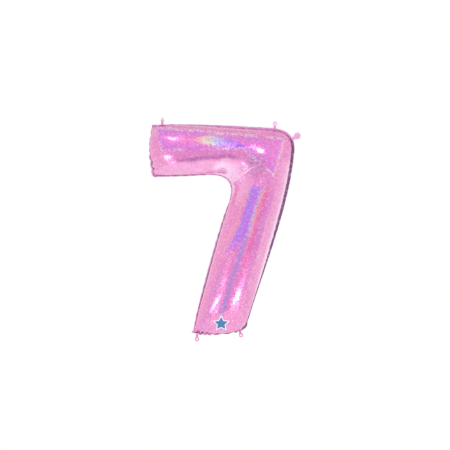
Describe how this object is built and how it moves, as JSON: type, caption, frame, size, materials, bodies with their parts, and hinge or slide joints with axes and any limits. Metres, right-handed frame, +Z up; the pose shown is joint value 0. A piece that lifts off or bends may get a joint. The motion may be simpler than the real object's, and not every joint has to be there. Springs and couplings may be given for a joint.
{
  "type": "foil number balloon",
  "caption": "Inflated foil balloon in the shape of the number seven, with a welded seam, hanging tabs with eyelets and a self-sealing filler neck.",
  "frame": {"origin": "middle of the balloon's box, tabs and filler neck included; the welded seam lies in the plane y = 0", "axes": "+Z up the figure, +X towards its right as seen from the front, -Y out of its front"},
  "size_m": [0.6456, 0.2382, 0.9646],
  "materials": {
    "foil": "metallised holographic glitter film, high gloss",
    "tab_film": "two fused plies of the same film, paler, gloss",
    "neck_film": "single ply of film, pale, gloss",
    "valve_film": "clear soft film, slightly milky"
  },
  "bodies": {
    "root": {"front_film": "foil", "back_film": "foil"},
    "tab_top_left": {"hanging_tab_top_left": "tab_film"},
    "tab_top_right": {"hanging_tab_top_right": "tab_film"},
    "tab_bottom_left": {"hanging_tab_bottom_left": "tab_film"},
    "tab_bottom_right": {"hanging_tab_bottom_right": "tab_film"},
    "neck": {"filler_neck_front_ply": "neck_film", "filler_neck_back_ply": "neck_film"},
    "valve_front": {"valve_front_ply": "valve_film"},
    "valve_back": {"valve_back_ply": "valve_film"}
  },
  "joints": [
    {"name": "tab_top_left_fold", "type": "hinge", "parent": "root", "child": "tab_top_left", "pos_m": [-0.26755, 0, 0.45033], "axis": [1, 0, -0.0012], "range_deg": [-90, 90], "stiffness_Nm_per_rad": 0.00015},
    {"name": "tab_top_right_fold", "type": "hinge", "parent": "root", "child": "tab_top_right", "pos_m": [0.21235, 0, 0.43387], "axis": [0.9928, 0, -0.1194], "range_deg": [-90, 90], "stiffness_Nm_per_rad": 0.00015},
    {"name": "tab_bottom_left_fold", "type": "hinge", "parent": "root", "child": "tab_bottom_left", "pos_m": [-0.11869, 0, -0.45044], "axis": [-0.9958, 0, 0.0917], "range_deg": [-90, 90], "stiffness_Nm_per_rad": 0.00015},
    {"name": "tab_bottom_right_fold", "type": "hinge", "parent": "root", "child": "tab_bottom_right", "pos_m": [0.0636, 0, -0.43456], "axis": [-0.9662, 0, -0.2577], "range_deg": [-90, 90], "stiffness_Nm_per_rad": 0.00015},
    {"name": "neck_fold", "type": "hinge", "parent": "root", "child": "neck", "pos_m": [0.29008, 0, 0.38767], "axis": [0.5377, 0, -0.8431], "range_deg": [-75, 75], "stiffness_Nm_per_rad": 0.0004},
    {"name": "valve_front_open", "type": "hinge", "parent": "root", "child": "valve_front", "pos_m": [0.27811, 0, 0.38004], "axis": [-0.5377, 0, 0.8431], "range_deg": [0, 4], "stiffness_Nm_per_rad": 0.01},
    {"name": "valve_back_open", "type": "hinge", "parent": "root", "child": "valve_back", "pos_m": [0.27811, 0, 0.38004], "axis": [-0.5377, 0, 0.8431], "range_deg": [-4, 0], "stiffness_Nm_per_rad": 0.01}
  ],
  "couplings": [
    {"joint": "valve_back_open", "follows": "valve_front_open", "ratio": -1}
  ]
}
